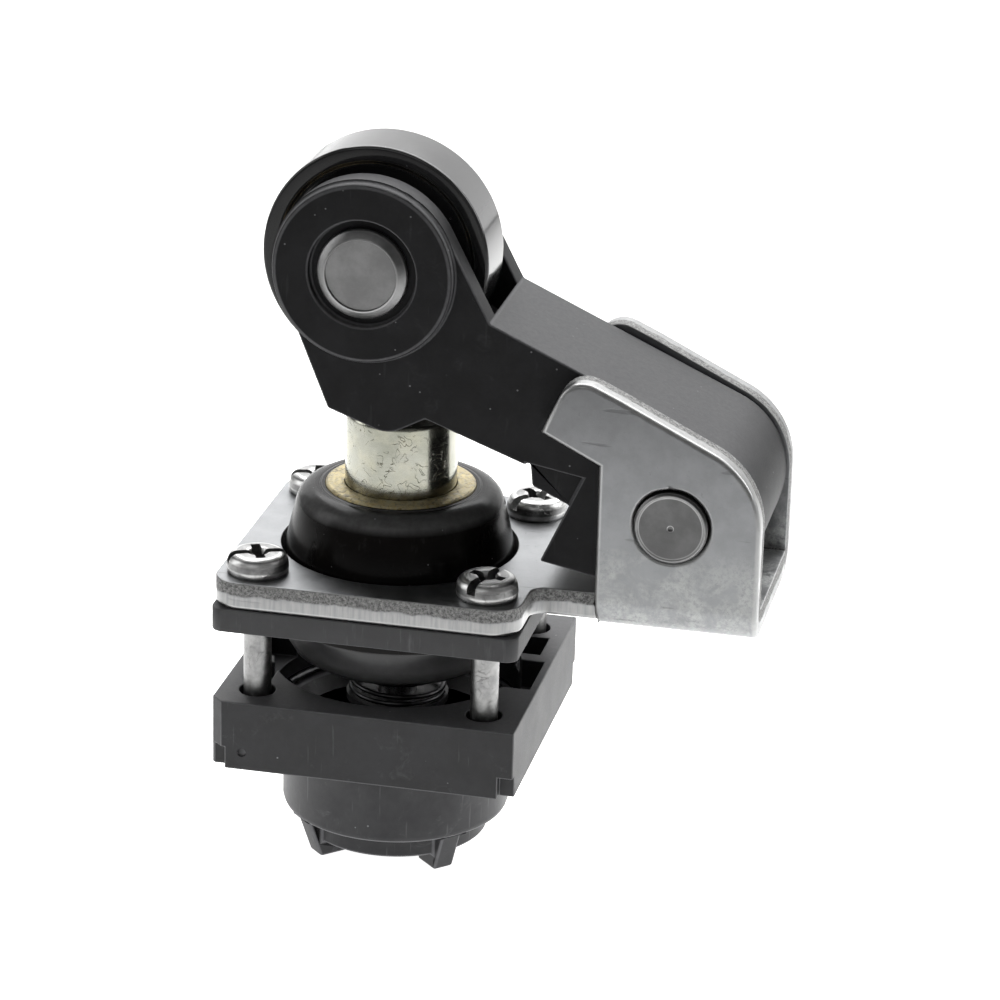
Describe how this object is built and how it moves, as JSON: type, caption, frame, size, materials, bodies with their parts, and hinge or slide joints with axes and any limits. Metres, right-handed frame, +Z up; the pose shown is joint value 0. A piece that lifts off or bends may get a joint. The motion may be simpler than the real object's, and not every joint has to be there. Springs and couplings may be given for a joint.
{
  "type": "limit switch head",
  "caption": "Roller lever plunger head of a compact limit switch: bent steel bracket with clevis, black lever and roller, sprung plunger, gasket and square base block with a locating spigot.",
  "frame": {"origin": "on the plunger's axis, in the underside of the base block that rests on the switch body, where the locating spigot leaves it", "axes": "+Z up along the plunger towards the roller; +X from the plunger to the lever's pivot; +Y along the pivot pin, away from the front cheek"},
  "size_m": [0.0519, 0.03, 0.0722],
  "materials": {
    "block_plastic": "fine moulded texture",
    "spigot_plastic": "smooth moulded",
    "spring_wire": "drawn wire",
    "zinc_sheet": "zinc plated, sheared edges",
    "gasket_rubber": "die cut",
    "collar_plastic": "polished",
    "bush_brass": "turned, greased",
    "seal_rubber": "moulded",
    "screw_steel": "zinc plated",
    "pin_steel": "dark burnished",
    "lever_plastic": "die cast, black finish",
    "washer_steel": "stamped",
    "roller_plastic": "turned and polished",
    "plunger_steel": "ground, greased",
    "pusher_plastic": "natural nylon"
  },
  "bodies": {
    "base": {"base_block": "block_plastic", "locating_spigot": "spigot_plastic", "spigot_snap_ring": "spring_wire"},
    "head": {"mounting_bracket": "zinc_sheet", "plate_gasket": "gasket_rubber", "guide_collar": "collar_plastic", "guide_bush": "bush_brass", "plunger_seal": "seal_rubber", "guide_cup": "block_plastic", "return_spring": "spring_wire", "cover_screws": "screw_steel", "pivot_pin": "pin_steel"},
    "lever": {"lever_arm": "lever_plastic", "lever_bush": "bush_brass", "roller_axle": "pin_steel", "thrust_washers": "washer_steel"},
    "roller": {"roller": "roller_plastic", "roller_bush": "bush_brass"},
    "plunger": {"plunger": "plunger_steel", "plunger_stem": "spring_wire", "stop_ring": "washer_steel", "spring_seat": "washer_steel", "overtravel_spring": "spring_wire"},
    "pusher": {"pusher": "pusher_plastic", "pusher_clip": "washer_steel"}
  },
  "joints": [
    {"name": "head_seat", "type": "slide", "parent": "base", "child": "head", "axis": [0, 0, -1], "range_m": [0, 0.00715]},
    {"name": "lever_pivot", "type": "hinge", "parent": "head", "child": "lever", "pos_m": [0.0285, 0, 0.0279], "axis": [0, -1, 0], "range_deg": [0, 11], "stiffness_Nm_per_rad": 0.6, "springref_deg": -11.46},
    {"name": "roller_spin", "type": "hinge", "parent": "lever", "child": "roller", "pos_m": [-0.0021, 0, 0.04905], "axis": [0, 1, 0], "continuous": true},
    {"name": "plunger_slide", "type": "slide", "parent": "head", "child": "plunger", "axis": [0, 0, -1], "range_m": [0, 0.00556], "deforming": ["return_spring"]},
    {"name": "pusher_slide", "type": "slide", "parent": "plunger", "child": "pusher", "axis": [0, 0, 1], "range_m": [0, 0.001], "stiffness_N_per_m": 1500, "springref_m": -0.0015, "deforming": ["overtravel_spring"]}
  ],
  "couplings": [
    {"joint": "plunger_slide", "follows": "lever_pivot", "m_per_rad": 0.028935}
  ]
}
